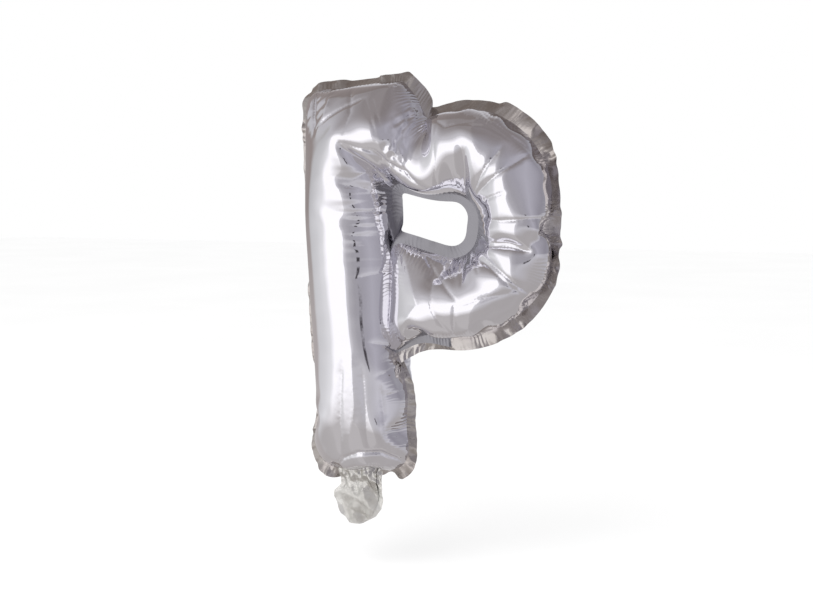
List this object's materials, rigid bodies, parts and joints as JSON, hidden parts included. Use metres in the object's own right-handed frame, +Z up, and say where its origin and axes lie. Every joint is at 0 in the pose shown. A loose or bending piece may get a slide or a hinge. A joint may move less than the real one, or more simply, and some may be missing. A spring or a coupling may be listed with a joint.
{
  "type": "letter P foil balloon",
  "caption": "Inflated foil balloon shaped as the letter P: two domed film sheets welded round the outline, the counter and a band between stem and lower arm, with a hinged flat filler neck under the foot.",
  "frame": {"origin": "in the seam plane near the middle of the letter, 123 mm right of its left edge and 175 mm above its foot, without the neck", "axes": "+Z up along the stem, front faces -Y, the bowl lies towards +X, and the seam plane is Y = 0"},
  "size_m": [0.2522, 0.0918, 0.3964],
  "materials": {
    "silver_film": "mirror-bright metallised film with fine wrinkles",
    "seam_film": "bright welded margin, crimped and slightly duller",
    "neck_film": "bright film, crumpled",
    "valve_film": "thin translucent film"
  },
  "bodies": {
    "envelope": {"front_panel": "silver_film", "back_panel": "silver_film", "outer_seam": "seam_film", "counter_seam": "seam_film"},
    "filler_neck": {"neck_front_film": "neck_film", "neck_back_film": "neck_film", "neck_left_seam": "seam_film", "neck_right_seam": "seam_film", "valve_front_film": "valve_film", "valve_back_film": "valve_film"}
  },
  "joints": [
    {"name": "neck_fold", "type": "hinge", "parent": "envelope", "child": "filler_neck", "pos_m": [-0.063, 0, -0.175], "axis": [1, 0, 0], "range_deg": [-90, 90]}
  ]
}
